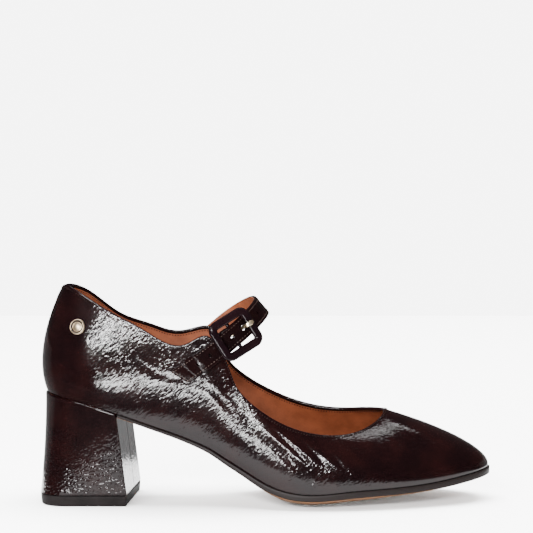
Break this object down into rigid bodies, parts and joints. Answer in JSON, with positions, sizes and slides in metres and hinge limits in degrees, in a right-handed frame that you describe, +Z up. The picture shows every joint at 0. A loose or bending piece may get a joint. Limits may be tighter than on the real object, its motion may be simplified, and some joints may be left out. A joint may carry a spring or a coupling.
{
  "type": "mary jane shoe",
  "caption": "Right mary jane shoe on a block heel, with a buckled instep strap, a low throat and a soft square toe; hollow, standing on its heel and forefoot.",
  "frame": {"origin": "middle of the shoe's bounding box, on the floor that it stands on", "axes": "+X towards the toe, +Y towards the inner side of the foot, +Z up"},
  "size_m": [0.2404, 0.079, 0.116],
  "materials": {
    "patent_upper": "crinkled dark oxblood brown patent, high gloss",
    "patent_heel": "patent cover of the heel block, fine crackle, high gloss",
    "patent_strap": "grained patent with light brown edge stitching",
    "patent_buckle": "smooth dark patent covered, mirror gloss",
    "sole": "dark brown, satin edge",
    "top_piece": "matt grey brown",
    "insole_leather": "smooth tan leather, matt",
    "pale_gold": "polished pale gold"
  },
  "bodies": {
    "root": {"upper": "patent_upper", "outsole": "sole", "insole": "insole_leather", "heel": "patent_heel", "top_piece": "top_piece", "strap": "patent_strap", "buckle_frame": "patent_buckle", "buckle_tab": "patent_strap", "buckle_prong": "pale_gold", "heel_stud": "pale_gold"}
  },
  "joints": []
}
